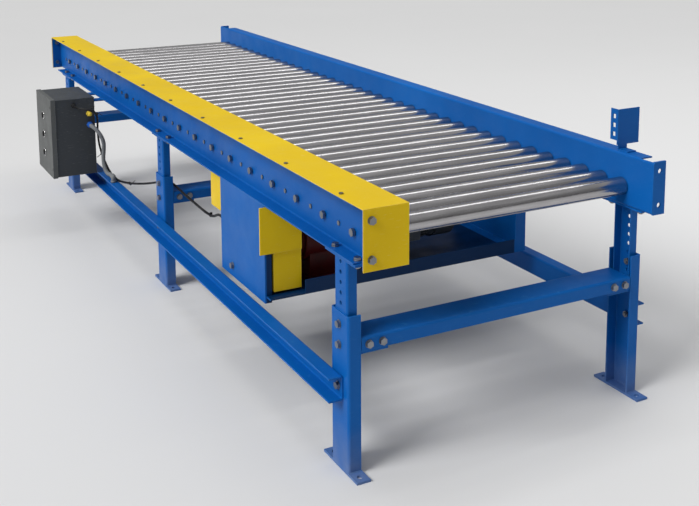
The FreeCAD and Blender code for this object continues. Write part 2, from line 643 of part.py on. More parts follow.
def make_enclosure():
    """Wall box open to -Y, where its door closes, with a back panel inside."""
    outside = block(BOX_X, BOX_Y, BOX_Z)
    inside = block((BOX_X[0] + BOX_SHEET, BOX_X[1] - BOX_SHEET), (BOX_Y[0] - 1, BOX_Y[1] - BOX_SHEET),
                   (BOX_Z[0] + BOX_SHEET, BOX_Z[1] - BOX_SHEET))
    shell = outside.cut(inside)
    for y, z in (POWER_GLAND, CAPPED_GLAND, CONDUIT_GLAND):
        shell = shell.cut(rod(GLAND_HOLE, (BOX_X[1] - 5, y, z), "x", 10))
    panel = block((BOX_X[0] + 15, BOX_X[1] - 15), (BOX_Y[1] - 8, BOX_Y[1] - 5),
                  (BOX_Z[0] + 15, BOX_Z[1] - 15))
    standoffs = [rod(5, (x, BOX_Y[1] - 5, z), "y", 3) for x in (BOX_X[0] + 30, BOX_X[1] - 30)
                 for z in (BOX_Z[0] + 30, BOX_Z[1] - 30)]
    hinge_x = BOX_X[0] - HINGE_OFFSET[0]
    hinge_y = BOX_Y[0] - HINGE_OFFSET[1]
    leaves = []
    for z in KNUCKLE_Z:
        leaf = block((hinge_x, BOX_X[0]), (hinge_y + 3, hinge_y + 21), (z, z + 30))
        leaves.append(leaf.fuse(rod(KNUCKLE_RADIUS, (hinge_x, hinge_y, z), "z", 30)))
    export("control_enclosure", [shell.multiFuse([panel] + standoffs + leaves)])


def button_z(index):
    return BOX_MID_Z + (1 - index) * BUTTON_STEP


def make_door():
    """Folded lid with a rim, drilled for the push buttons, with its hinge knuckles and captive screws."""
    gap = 0.5
    face_y = BOX_Y[0] - DOOR_DEPTH
    outside = block((BOX_X[0], BOX_X[1] + 3), (face_y, BOX_Y[0] - gap), (BOX_Z[0] - 3, BOX_Z[1] + 3))
    inside = block((BOX_X[0] + 2, BOX_X[1] + 1), (face_y + 2, BOX_Y[0]), (BOX_Z[0] - 1, BOX_Z[1] + 1))
    door = outside.cut(inside)
    for index in range(3):
        door = door.cut(rod(BUTTON_RADIUS + 0.5, (BOX_MID_X, face_y - 1, button_z(index)), "y", 5))
    hinge_x = BOX_X[0] - HINGE_OFFSET[0]
    hinge_y = BOX_Y[0] - HINGE_OFFSET[1]
    for knuckle_z in KNUCKLE_Z:
        z = knuckle_z + 30.6
        knuckle = rod(KNUCKLE_RADIUS, (hinge_x, hinge_y, z), "z", 18)
        leaf = block((hinge_x, BOX_X[0] + 1), (hinge_y - 4, hinge_y - 1), (z, z + 18))
        door = door.fuse(knuckle.fuse(leaf))
    screws = [rod(5, (BOX_X[1] - 12, face_y - 2, z), "y", 2) for z in (BOX_Z[0] + 30, BOX_Z[1] - 30)]
    collars = []
    for index in range(3):
        collars.append(ring(15, BUTTON_RADIUS + 0.5, (BOX_MID_X, face_y - 3, button_z(index)), "y", 3))
    export("enclosure_door", [door.removeSplitter().multiFuse(screws + collars)])


def make_buttons():
    """Three round push buttons, each held behind the door sheet by its own shoulder."""
    face_y = BOX_Y[0] - DOOR_DEPTH
    for index, name in enumerate(("start_button", "stop_button", "reset_button")):
        z = button_z(index)
        cap = rod(BUTTON_RADIUS, (BOX_MID_X, OUTLINE_Y[0], z), "y", 14)
        shoulder = rod(BUTTON_RADIUS + 2, (BOX_MID_X, face_y + 2.5, z), "y", 2)
        stem = rod(4, (BOX_MID_X, face_y + 4, z), "y", 30)
        export(name, [cap.multiFuse([shoulder, stem])])


def make_brackets():
    """Sensor plate on the far channel, and the two straps that carry the enclosure."""
    sheet = SENSOR_SHEET
    back = SENSOR_X + sheet
    plate = block((SENSOR_X, back), SENSOR_Y, SENSOR_Z)
    flange = block((back - SENSOR_FLANGE, back), (SENSOR_Y[0], SENSOR_Y[0] + sheet),
                   (SENSOR_Z[0] + 12, SENSOR_Z[1]))
    for k in range(3):
        slot_z = SENSOR_Z[0] + 22 + k * 24
        flange = flange.cut(block((back - 20, back - 9), (SENSOR_Y[0] - 1, SENSOR_Y[0] + sheet + 1),
                                  (slot_z, slot_z + 12)))
    upright = block((SENSOR_X, back), SENSOR_FOOT_Y, (RAIL_TOP, SENSOR_Z[0]))
    foot = block((SENSOR_X, SENSOR_X + SENSOR_FOOT_LENGTH), SENSOR_FOOT_Y, (RAIL_TOP, RAIL_TOP + sheet))
    sensor = plate.multiFuse([flange, upright, foot]).removeSplitter()
    straps = []
    for x in (BOX_X[0] + 40, BOX_X[1] - 80):
        strap = block((x, x + 40), (BOX_Y[1], BOX_Y[1] + 5), (BOX_Z[0] + 22, RAIL_BOTTOM))
        arm = block((x, x + 40), (BOX_Y[1], -WEB_OUTER), (RAIL_BOTTOM - 5, RAIL_BOTTOM))
        straps.append(strap.fuse(arm).removeSplitter())
    export("accessory_brackets", [sensor] + straps)


def gland(start, flats, reach, direction):
    """Cable gland along X: nut inside the wall, thread through it, hexagon and dome outside."""
    x, y, z = start
    wall = BOX_SHEET if direction > 0 else TRAY_SHEET
    hexagon = prism(flats, (min(x, x + direction * 8), y, z), "x", 8)
    dome = rod(flats * 0.42, start, "x", direction * reach)
    thread = rod(GLAND_THREAD, start, "x", -direction * (wall + 5))
    nut_x = x - direction * wall
    nut = prism(13.5, (min(nut_x, nut_x - direction * 4), y, z), "x", 4)
    return hexagon.multiFuse([dome, thread, nut])


def make_glands():
    """Glands of the enclosure and of the drive side plate, and the conduit elbow on the stringer."""
    wall_x = BOX_X[1]
    pieces = [gland((wall_x,) + POWER_GLAND, 16, POWER_CABLE_ROUTE[0][0] - wall_x, 1),
              gland((wall_x,) + CAPPED_GLAND, 20, 26, 1),
              gland((wall_x,) + CONDUIT_GLAND, 22, CONDUIT_ROUTE[0][0] - wall_x, 1)]
    plate_x = SIDE_PLATE_X[0]
    pieces.append(gland((plate_x,) + PLATE_GLAND, 13.5, plate_x - POWER_CABLE_ROUTE[-1][0], -1))
    x, y, z = ELBOW
    shelf = STRINGER_BOTTOM + STRINGER_HEIGHT
    base = prism(20, (x, y, shelf), "z", 8)
    riser = rod(9, (x, y, shelf), "z", z - shelf)
    inlet = rod(10, (x, y, z), "x", CONDUIT_ROUTE[-1][0] - x)
    corner = Part.makeSphere(10, Vector(x, y, z))
    pieces.append(base.multiFuse([riser, inlet, corner]))
    export("cable_glands", pieces)


def make_cables():
    routes = (("power_cable", POWER_CABLE_ROUTE, POWER_CABLE_RADIUS),
              ("control_conduit", CONDUIT_ROUTE, CONDUIT_RADIUS))
    for name, route, radius in routes:
        tube, length, radii = tube_along(route, radius)
        true_volume = math.pi * radius ** 2 * length
        print(name, "length %.0f" % length, "volume ratio %.4f" % (tube.Volume / true_volume))
        print(name, "arc radii", " ".join("%.0f" % bend for bend in radii))
        export(name, [tube])


make_rollers()
make_axles()
make_chains()
make_side_channels()
make_cross_members()
make_legs()
make_stand_braces()
make_bolts()
make_chain_guard()
make_drive_frame()
make_gear_reducer()
make_motor()
make_reducer_sprocket()
make_drive_guard()
make_enclosure()
make_door()
make_buttons()
make_brackets()
make_glands()
make_cables()
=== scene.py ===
import json
import math

import bmesh
import bpy
from mathutils import Euler, Matrix, Vector


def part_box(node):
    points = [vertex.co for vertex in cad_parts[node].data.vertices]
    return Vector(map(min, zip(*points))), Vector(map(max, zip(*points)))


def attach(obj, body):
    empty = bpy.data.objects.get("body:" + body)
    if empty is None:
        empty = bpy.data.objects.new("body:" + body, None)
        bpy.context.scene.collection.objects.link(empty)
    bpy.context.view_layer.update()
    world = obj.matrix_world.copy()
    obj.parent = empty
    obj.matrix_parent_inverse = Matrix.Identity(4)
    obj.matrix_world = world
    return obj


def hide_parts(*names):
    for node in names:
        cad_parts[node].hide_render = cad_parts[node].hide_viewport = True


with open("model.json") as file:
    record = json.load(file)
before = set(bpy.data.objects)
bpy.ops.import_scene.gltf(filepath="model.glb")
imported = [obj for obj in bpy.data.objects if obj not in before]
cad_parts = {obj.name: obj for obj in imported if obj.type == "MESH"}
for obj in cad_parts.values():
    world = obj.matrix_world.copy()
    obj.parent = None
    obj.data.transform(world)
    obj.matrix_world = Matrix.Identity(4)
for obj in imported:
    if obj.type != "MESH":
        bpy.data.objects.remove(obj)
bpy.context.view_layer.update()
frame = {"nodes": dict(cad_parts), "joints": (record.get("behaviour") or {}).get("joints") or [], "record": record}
nodes = frame["nodes"]
bed_low, bed_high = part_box("side_channels")
bed_y = (bed_low.y + bed_high.y) / 2

# ---------------------------------------------------------------------------------------------------
# Studio
# A camera at standing height off the front corner of the drive side, on a plain pale floor, under a
# soft overhead dome, one broad lamp from the drive side and a long strip lamp over the bed. Nothing
# here is part of the conveyor.
# ---------------------------------------------------------------------------------------------------
camera_place = Vector((3.4895, bed_y - 1.5066, 1.3632))
camera_heading = math.radians(180 - 27.75)
camera_tilt = math.radians(-8.8)
camera_roll = math.radians(-0.26)
camera_lens = 54.9
camera_sensor = 36
camera_shift = -0.2904

camera_data = bpy.data.cameras.new("camera")
camera_data.lens = camera_lens
camera_data.sensor_width = camera_sensor
camera_data.shift_y = camera_shift
camera = bpy.data.objects.new("camera", camera_data)
look = Vector((math.cos(camera_tilt) * math.cos(camera_heading),
               math.cos(camera_tilt) * math.sin(camera_heading), math.sin(camera_tilt)))
turn = look.to_track_quat("-Z", "Y").to_matrix().to_4x4() @ Matrix.Rotation(camera_roll, 4, "Z")
camera.matrix_world = Matrix.Translation(camera_place) @ turn
bpy.context.scene.collection.objects.link(camera)
bpy.context.scene.camera = camera

sky_strength_below = 0.1
sky_strength_above = 0.6
world = bpy.data.worlds.new("studio")
world.use_nodes = True
dome = world.node_tree
sky_height = dome.nodes.new("ShaderNodeSeparateXYZ")
dome.links.new(dome.nodes.new("ShaderNodeTexCoord").outputs["Generated"], sky_height.inputs[0])
sky_span = dome.nodes.new("ShaderNodeMapRange")
dome.links.new(sky_height.outputs["Z"], sky_span.inputs["Value"])
sky_span.inputs["To Min"].default_value = sky_strength_below
sky_span.inputs["To Max"].default_value = sky_strength_above
dome.nodes["Background"].inputs["Color"].default_value = (1, 1, 1, 1)
dome.links.new(sky_span.outputs["Result"], dome.nodes["Background"].inputs["Strength"])
bpy.context.scene.world = world
bpy.context.scene.view_settings.view_transform = "Standard"

broad_lamp_aim = Vector((-0.1, 0.9, -0.75))
broad_lamp = bpy.data.lights.new("broad_lamp", "SUN")
broad_lamp.energy = 2.4
broad_lamp.angle = math.radians(30)
broad_lamp_holder = bpy.data.objects.new("broad_lamp", broad_lamp)
broad_lamp_holder.rotation_euler = broad_lamp_aim.to_track_quat("-Z", "Y").to_euler()
bpy.context.scene.collection.objects.link(broad_lamp_holder)

strip_lamp_place = (0.0, bed_y + 1.6, 4.2)
strip_lamp = bpy.data.lights.new("strip_lamp", "AREA")
strip_lamp.shape = "RECTANGLE"
strip_lamp.size = 0.7
strip_lamp.size_y = 6.0
strip_lamp.energy = 50
strip_lamp_holder = bpy.data.objects.new("strip_lamp", strip_lamp)
strip_lamp_holder.location = strip_lamp_place
bpy.context.scene.collection.objects.link(strip_lamp_holder)


def join(tree, kind, inputs, **settings):
    """Adds a node, sets its options, and gives each input a value or the socket that feeds it."""
    made = tree.nodes.new(kind)
    for option, value in settings.items():
        setattr(made, option, value)
    for key, value in inputs.items():
        if isinstance(value, bpy.types.NodeSocket):
            tree.links.new(value, made.inputs[key])
        else:
            made.inputs[key].default_value = value
    return made


def new_material(name, roughness, metallic=0.0):
    """An empty principled material: its tree, its shader, and the Object coordinates."""
    material = bpy.data.materials.new(name)
    material.use_nodes = True
    tree = material.node_tree
    shader = tree.nodes["Principled BSDF"]
    shader.inputs["Roughness"].default_value = roughness
    shader.inputs["Metallic"].default_value = metallic
    shader.inputs["Specular IOR Level"].default_value = 0.15
    place = tree.nodes.new("ShaderNodeTexCoord").outputs["Object"]
    return material, tree, shader, place


def noise(tree, place, scale, detail=3.0, stretch=None):
    """Noise over a piece, drawn out along an axis where stretch is given."""
    if stretch:
        place = join(tree, "ShaderNodeMapping", {"Vector": place, "Scale": stretch}).outputs["Vector"]
    made = join(tree, "ShaderNodeTexNoise", {"Vector": place, "Scale": scale, "Detail": detail})
    return made.outputs["Fac"]


def mixed(tree, factor, first, second):
    """One colour giving way to another."""
    made = join(tree, "ShaderNodeMix", {0: factor, 6: first, 7: second}, data_type="RGBA")
    return made.outputs[2]


floor_reach = 40
floor_material, tree, shader, place = new_material("studio_floor", 0.9)
tint = mixed(tree, noise(tree, place, 0.6), (0.70, 0.70, 0.70, 1), (0.73, 0.73, 0.73, 1))
tree.links.new(tint, shader.inputs["Base Color"])
floor_mesh = bpy.data.meshes.new("floor")
floor_corners = [(floor_reach * x, floor_reach * y, 0) for x, y in ((-1, -1), (1, -1), (1, 1), (-1, 1))]
floor_mesh.from_pydata(floor_corners, [], [(0, 1, 2, 3)])
floor_mesh.materials.append(floor_material)
floor = bpy.data.objects.new("floor", floor_mesh)
bpy.context.scene.collection.objects.link(floor)

# ---------------------------------------------------------------------------------------------------
# Power cable
# An 8 mm black rubber-sheathed lead. It leaves the enclosure's upper gland, drops down its rear
# corner, lies on the stringer, crosses the middle brace and enters the gland of the drive's side plate.
# ---------------------------------------------------------------------------------------------------
power_cable_size = 0.008
power_cable_route = [
    (-0.590, -0.565, 0.520), (-0.560, -0.565, 0.520), (-0.534, -0.552, 0.519), (-0.524, -0.526, 0.514),
    (-0.536, -0.502, 0.503), (-0.560, -0.487, 0.484), (-0.583, -0.480, 0.452), (-0.597, -0.478, 0.408),
    (-0.598, -0.474, 0.358), (-0.592, -0.464, 0.312), (-0.575, -0.454, 0.276), (-0.540, -0.449, 0.253),
    (-0.490, -0.447, 0.245), (-0.428, -0.446, 0.247), (-0.355, -0.441, 0.257), (-0.270, -0.431, 0.273),
    (-0.186, -0.415, 0.292), (-0.110, -0.403, 0.313), (-0.044, -0.396, 0.335), (0.014, -0.394, 0.349),
    (0.070, -0.393, 0.353), (0.135, -0.394, 0.350), (0.210, -0.396, 0.347), (0.295, -0.400, 0.349),
    (0.385, -0.408, 0.354), (0.470, -0.416, 0.361), (0.536, -0.422, 0.371), (0.577, -0.426, 0.388),
    (0.603, -0.428, 0.397), (0.628, -0.428, 0.397)]


def on_bed(points):
    """Points given about the bed's centre line, in the frame's own place."""
    return [Vector((x, y + bed_y, z)) for x, y, z in points]


def smooth_line(name, points, radius=0.0):
    """One smooth open spline through a route, as round as the cable."""
    curve = bpy.data.curves.new(name, "CURVE")
    curve.dimensions = "3D"
    curve.resolution_u = 8
    curve.bevel_depth = radius
    curve.bevel_resolution = 5
    curve.use_fill_caps = radius > 0
    spline = curve.splines.new("NURBS")
    spline.points.add(len(points) - 1)
    for point, spot in zip(spline.points, points):
        point.co = (*spot, 1)
    spline.order_u = 3
    spline.use_endpoint_u = True
    made = bpy.data.objects.new(name, curve)
    bpy.context.scene.collection.objects.link(made)
    return made


def line_points(route):
    """The points of a route's smooth line, in order."""
    line = smooth_line("line", route)
    mesh = bpy.data.meshes.new_from_object(line.evaluated_get(bpy.context.evaluated_depsgraph_get()))
    points = [vertex.co.copy() for vertex in mesh.vertices]
    bpy.data.objects.remove(line)
    bpy.data.meshes.remove(mesh)
    return points


def between(tree, value, low, high, to_low=0.0, to_high=1.0):
    """A value's span from low to high, stretched over another span and held at its ends."""
    made = join(tree, "ShaderNodeMapRange", {"Value": value, "From Min": low, "From Max": high,
                                             "To Min": to_low, "To Max": to_high})
    return made.outputs["Result"]


def bumped(tree, shader, height, distance, strength):
    """Gives a shader fine relief."""
    bump = join(tree, "ShaderNodeBump", {"Height": height, "Distance": distance, "Strength": strength})
    tree.links.new(bump.outputs["Normal"], shader.inputs["Normal"])


def sheath(name, colour, roughness):
    """Rubber or nylon: dull, with fine grain, dust in patches and light handling marks."""
    material, tree, shader, place = new_material(name, roughness)
    dust = between(tree, noise(tree, place, 9), 0.5, 0.75, 0.0, 0.35)
    dusty = [min(1.0, channel + 0.12) for channel in colour[:3]] + [1]
    tree.links.new(mixed(tree, dust, colour, dusty), shader.inputs["Base Color"])
    marks = between(tree, noise(tree, place, 70), 0.3, 0.7, roughness - 0.1, roughness + 0.12)
    tree.links.new(marks, shader.inputs["Roughness"])
    bumped(tree, shader, noise(tree, place, 1400, 2), 0.0002, 0.5)
    return material


black_rubber = sheath("black_rubber", (0.012, 0.012, 0.013, 1), 0.5)
power_cable = smooth_line("power_cable_sheath", on_bed(power_cable_route), power_cable_size / 2)
power_cable.data.materials.append(black_rubber)
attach(power_cable, "frame")
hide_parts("power_cable")
power_line = line_points(on_bed(power_cable_route))


# ---------------------------------------------------------------------------------------------------
# Cable ties
# Black nylon ties bunch the power cable at the enclosure and hold it to the frame. Each is a thin
# band, a square head and a cut tail that stands out.
# ---------------------------------------------------------------------------------------------------
tie_width = 0.0036
tie_band = 0.0012
tie_outer = power_cable_size / 2 + 0.0014
tie_head = 0.003
tie_spots = (0.10, 0.16, 0.30, 0.42, 0.50, 0.655, 0.90)


def new_piece(name, bm, material, body):
    """A finished mesh as a piece that rides on a body."""
    bmesh.ops.recalc_face_normals(bm, faces=bm.faces[:])
    mesh = bpy.data.meshes.new(name)
    bm.to_mesh(mesh)
    bm.free()
    mesh.materials.append(material)
    made = bpy.data.objects.new(name, mesh)
    bpy.context.scene.collection.objects.link(made)
    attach(made, body)
    return made


def turned(bm, profile, place, sides=32):
    """Adds a solid of revolution: profile holds (distance along the axis, radius), place puts +Z there."""
    rings = []
    for along, radius in profile:
        if radius < 1e-6:
            rings.append([bm.verts.new(place @ Vector((0, 0, along)))])
            continue
        angles = [2 * math.pi * k / sides for k in range(sides)]
        rings.append([bm.verts.new(place @ Vector((radius * math.cos(a), radius * math.sin(a), along)))
                      for a in angles])
    for low, high in zip(rings, rings[1:]):
        for k in range(max(len(low), len(high))):
            corners = [low[k % len(low)], low[(k + 1) % len(low)],
                       high[(k + 1) % len(high)], high[k % len(high)]]
            face = [v for i, v in enumerate(corners) if v not in corners[:i]]
            bm.faces.new(face).smooth = True
    for end in (rings[0], rings[-1]):
        if len(end) > 2:
            bm.faces.new(end)


def slab(bm, low, high, place=Matrix.Identity(4)):
    """Adds a box between two corners."""
    made = bmesh.ops.create_cube(bm, size=1)
    for vertex in made["verts"]:
        spot = [(a + b) / 2 + c * (b - a) for a, b, c in zip(low, high, vertex.co)]
        vertex.co = place @ Vector(spot)


def standing(spot, direction):
    """A place whose +Z runs along a direction."""
    return Matrix.Translation(spot) @ direction.to_track_quat("Z", "Y").to_matrix().to_4x4()


black_nylon = sheath("black_nylon", (0.014, 0.014, 0.015, 1), 0.42)
bm = bmesh.new()
for number, share in enumerate(tie_spots):
    k = int(share * (len(power_line) - 2))
    place = standing(power_line[k], power_line[k + 1] - power_line[k])
    tie_inner = tie_outer - tie_band
    turned(bm, [(-tie_width / 2, tie_inner), (-tie_width / 2, tie_outer), (tie_width / 2, tie_outer),
                (tie_width / 2, tie_inner), (-tie_width / 2, tie_inner)], place, 24)
    lean = place @ Matrix.Rotation(math.radians(40 + 67 * number), 4, "Z")
    slab(bm, (tie_outer - 0.001, -tie_head, -tie_head), (tie_outer + 0.004, tie_head, tie_head), lean)
    tail = lean @ Matrix.Rotation(math.radians(18), 4, "X")
    slab(bm, (tie_outer + 0.001, 0.002, -tie_width / 3), (tie_outer + 0.0022, 0.022, tie_width / 3), tail)
cable_ties = new_piece("cable_ties", bm, black_nylon, "frame")

# ---------------------------------------------------------------------------------------------------
# Control conduit
# Grey corrugated nylon hose, 16 mm across. It bulges out of the lower gland of the enclosure and runs
# down to the elbow on the stringer, where the sensor lead goes on inside the channel.
# ---------------------------------------------------------------------------------------------------
conduit_size = 0.016
conduit_rib = 0.0032
conduit_groove = 0.0011
conduit_route = [
    (-0.588, -0.504, 0.438), (-0.562, -0.504, 0.438), (-0.540, -0.496, 0.430), (-0.530, -0.481, 0.406),
    (-0.535, -0.471, 0.376), (-0.552, -0.468, 0.344), (-0.565, -0.468, 0.310), (-0.559, -0.468, 0.282),
    (-0.538, -0.467, 0.263), (-0.509, -0.465, 0.256), (-0.484, -0.464, 0.262), (-0.460, -0.464, 0.262)]


def new_tree(name, sizes):
    """An empty geometry tree with a mesh in, a mesh out, and named inputs."""
    tree = bpy.data.node_groups.new(name, "GeometryNodeTree")
    tree.interface.new_socket("Geometry", in_out="INPUT", socket_type="NodeSocketGeometry")
    for size, (kind, value) in sizes.items():
        socket = tree.interface.new_socket(size, in_out="INPUT", socket_type="NodeSocket" + kind)
        if value is not None:
            socket.default_value = value
    tree.interface.new_socket("Geometry", in_out="OUTPUT", socket_type="NodeSocketGeometry")
    given = tree.nodes.new("NodeGroupInput")
    return tree, given.outputs


def close_tree(tree, geometry, material):
    """Makes the copies real, gives them their material and sends them out."""
    real = join(tree, "GeometryNodeRealizeInstances", {"Geometry": geometry})
    coated = join(tree, "GeometryNodeSetMaterial", {"Geometry": real.outputs[0], "Material": material})
    tree.links.new(coated.outputs[0], join(tree, "NodeGroupOutput", {}).inputs[0])


def grown(name, start, tree, values, body):
    """Runs a geometry tree over a starting object and keeps its result as one plain mesh."""
    modifier = start.modifiers.new("grow", "NODES")
    modifier.node_group = tree
    for item in tree.interface.items_tree:
        if item.in_out == "INPUT" and item.name in values:
            modifier[item.identifier] = values[item.name]
    bpy.context.view_layer.update()
    mesh = bpy.data.meshes.new_from_object(start.evaluated_get(bpy.context.evaluated_depsgraph_get()))
    mesh.name = name
    bpy.data.objects.remove(start)
    made = bpy.data.objects.new(name, mesh)
    bpy.context.scene.collection.objects.link(made)
    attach(made, body)
    return made


hose_sizes = {"Size": ("Float", conduit_size), "Rib": ("Float", conduit_rib),
              "Groove": ("Float", conduit_groove), "Material": ("Material", None)}
hose_tree, given = new_tree("corrugated_hose", hose_sizes)
fine = join(hose_tree, "GeometryNodeResampleCurve", {"Curve": given["Geometry"], "Length": conduit_rib / 6},
            mode="LENGTH")
along = hose_tree.nodes.new("GeometryNodeSplineParameter").outputs["Length"]
ribs = join(hose_tree, "ShaderNodeMath", {0: along, 1: given["Rib"]}, operation="DIVIDE").outputs[0]
phase = join(hose_tree, "ShaderNodeMath", {0: ribs, 1: 2 * math.pi}, operation="MULTIPLY").outputs[0]
wave = join(hose_tree, "ShaderNodeMath", {0: phase}, operation="SINE").outputs[0]
dip = join(hose_tree, "ShaderNodeMapRange", {"Value": wave, "From Min": -0.7, "From Max": 0.7,
                                             "To Min": given["Groove"], "To Max": 0.0},
           interpolation_type="SMOOTHSTEP").outputs["Result"]
half = join(hose_tree, "ShaderNodeMath", {0: given["Size"], 1: 0.5}, operation="MULTIPLY").outputs[0]
reach = join(hose_tree, "ShaderNodeMath", {0: half, 1: dip}, operation="SUBTRACT").outputs[0]
sized = join(hose_tree, "GeometryNodeSetCurveRadius", {"Curve": fine.outputs[0], "Radius": reach})
ring = join(hose_tree, "GeometryNodeCurvePrimitiveCircle", {"Resolution": 20, "Radius": 1.0}).outputs["Curve"]
hose = join(hose_tree, "GeometryNodeCurveToMesh", {"Curve": sized.outputs[0], "Profile Curve": ring,
                                                   "Fill Caps": True})
hose_tree.links.new(reach, hose.inputs["Scale"])
close_tree(hose_tree, hose.outputs[0], given["Material"])

grey_nylon = sheath("grey_nylon", (0.19, 0.2, 0.21, 1), 0.5)
conduit = grown("control_conduit_hose", smooth_line("hose_line", on_bed(conduit_route)), hose_tree,
                {"Size": conduit_size, "Rib": conduit_rib, "Groove": conduit_groove, "Material": grey_nylon},
                "frame")
for face in conduit.data.polygons:
    face.use_smooth = True
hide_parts("control_conduit")
line_points(on_bed(conduit_route))

# ---------------------------------------------------------------------------------------------------
# Glands and connectors
# Nylon cable glands screwed through the enclosure wall and the drive's side plate: one black, a
# capped yellow one, a blue one for the conduit, and the grey elbow that stands on the stringer.
# ---------------------------------------------------------------------------------------------------
wall_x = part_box("control_enclosure")[1].x
side_plate_hole = Vector((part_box("drive_frame")[0].x, bed_y - 0.428, 0.397))
hexagon_depth = 0.008
chamfer = 0.0008


def gland(bm, foot, direction, flats, reach, bore):
    """Hexagon and round clamping nut with a domed end that closes in round the lead."""
    place = standing(foot, direction)
    turned(bm, [(0, 0.0), (0, flats * 0.56), (chamfer, flats * 0.577),
                (hexagon_depth - chamfer, flats * 0.577), (hexagon_depth, flats * 0.56),
                (hexagon_depth, 0.0)], place, 6)
    turned(bm, [(hexagon_depth, flats * 0.30), (hexagon_depth, flats * 0.42), (reach * 0.72, flats * 0.42),
                (reach * 0.9, flats * 0.36), (reach, bore + 0.0012), (reach, bore * 0.9)], place, 40)


connectors = (
    ("power_gland", (-0.565, 0.520), 0.016, 0.022, 0.004, black_nylon),
    ("capped_gland", (-0.506, 0.482), 0.020, 0.026, 0.0, sheath("yellow_nylon", (0.75, 0.55, 0.06, 1), 0.4)),
    ("conduit_gland", (-0.504, 0.438), 0.022, 0.024, 0.008, sheath("blue_nylon", (0.02, 0.12, 0.5, 1), 0.4)))
for name, (y, z), flats, reach, bore, material in connectors:
    bm = bmesh.new()
    gland(bm, Vector((wall_x, y + bed_y, z)), Vector((1, 0, 0)), flats, reach, bore)
    made = new_piece(name, bm, material, "frame")
    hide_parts("cable_glands")
bm = bmesh.new()
gland(bm, side_plate_hole, Vector((-1, 0, 0)), 0.0135, 0.022, 0.004)
new_piece("side_plate_gland", bm, black_nylon, "frame")

elbow = Vector((-0.440, bed_y - 0.464, 0.262))
shelf = Vector((elbow.x, elbow.y, 0.240))
bm = bmesh.new()
turned(bm, [(0, 0.0), (0, 0.0113), (0.008, 0.0113), (0.008, 0.0)], standing(shelf, Vector((0, 0, 1))), 6)
turned(bm, [(0, 0.0), (0, 0.009), (0.022, 0.009), (0.0285, 0.0065), (0.031, 0.0)],
       standing(shelf, Vector((0, 0, 1))))
turned(bm, [(-0.006, 0.0), (-0.005, 0.006), (0, 0.009), (0.006, 0.010), (0.018, 0.010), (0.020, 0.0092),
            (0.020, 0.0)], standing(elbow, Vector((-1, 0, 0))))
new_piece("conduit_elbow", bm, grey_nylon, "frame")

# ---------------------------------------------------------------------------------------------------
# Blue frame steel
# Folded channels, legs, braces, ties, drive tray and brackets, in semi-gloss blue powder coat. The coat
# has a fine orange peel, thins on the folds and cut edges, and is scuffed and dusty low down.
# ---------------------------------------------------------------------------------------------------
frame_blue = (0.002, 0.112, 0.42, 1)
worn_blue = (0.04, 0.20, 0.50, 1)
dark_blue = (0.001, 0.070, 0.29, 1)
painted_shade_blue = (0.001, 0.012, 0.04, 1)
floor_dust = (0.30, 0.31, 0.32, 1)


def edge_wear(tree, place, width):
    """Where a surface turns a sharp corner, broken up by noise."""
    soft = join(tree, "ShaderNodeBevel", {"Radius": width}, samples=4).outputs["Normal"]
    sharp = tree.nodes.new("ShaderNodeNewGeometry").outputs["Normal"]
    facing = join(tree, "ShaderNodeVectorMath", {0: soft, 1: sharp}, operation="DOT_PRODUCT").outputs["Value"]
    edge = between(tree, facing, 0.999, 0.93)
    patchy = between(tree, noise(tree, place, 30), 0.38, 0.62)
    return join(tree, "ShaderNodeMath", {0: edge, 1: patchy}, operation="MULTIPLY").outputs[0]


def powder_coat(name, colour, worn, dark, roughness):
    """Baked powder: clouded tone, scuffs, bare edges, and floor dust low down."""
    material, tree, shader, place = new_material(name, roughness)
    cloudy = mixed(tree, between(tree, noise(tree, place, 2.2), 0.35, 0.65), dark, colour)
    tone = mixed(tree, 0.55, colour, cloudy)
    scuffs = between(tree, noise(tree, place, 55, 4, (1, 1, 6)), 0.62, 0.75, 0.0, 0.35)
    scuffed = mixed(tree, scuffs, tone, worn)
    edged = mixed(tree, edge_wear(tree, place, 0.0016), scuffed, worn)
    height = join(tree, "ShaderNodeSeparateXYZ", {"Vector": place}).outputs["Z"]
    low_down = between(tree, height, 0.12, 0.0, 0.0, 0.55)
    dust = join(tree, "ShaderNodeMath", {0: low_down, 1: noise(tree, place, 18)}, operation="MULTIPLY")
    tree.links.new(mixed(tree, dust.outputs[0], edged, floor_dust), shader.inputs["Base Color"])
    sheen = between(tree, noise(tree, place, 14), 0.3, 0.7, roughness - 0.06, roughness + 0.1)
    tree.links.new(sheen, shader.inputs["Roughness"])
    bumped(tree, shader, noise(tree, place, 700, 2), 0.00025, 0.35)
    return material


def painted_under_bed_shade(material, near_face, far_face):
    """Paints shade under the bed: whatever lies between two planes across it turns near-black blue."""
    tree = material.node_tree
    shader = tree.nodes["Principled BSDF"]
    unshaded = shader.inputs["Base Color"].links[0].from_socket
    place = tree.nodes.new("ShaderNodeTexCoord").outputs["Object"]
    across = join(tree, "ShaderNodeSeparateXYZ", {"Vector": place}).outputs["Y"]
    past_near = between(tree, across, near_face, near_face + 0.003, 0.0, 0.85)
    before_far = between(tree, across, far_face, far_face - 0.003)
    inside = join(tree, "ShaderNodeMath", {0: past_near, 1: before_far}, operation="MULTIPLY").outputs[0]
    # Painted shade: between the two planes the colour gives way to a near-black blue.
    tree.links.new(mixed(tree, inside, unshaded, painted_shade_blue), shader.inputs["Base Color"])
    return material


def coat(names, material):
    """Gives carried-over CAD pieces their finish."""
    for name in names:
        mesh = nodes[name].data
        mesh.materials.clear()
        mesh.materials.append(material)


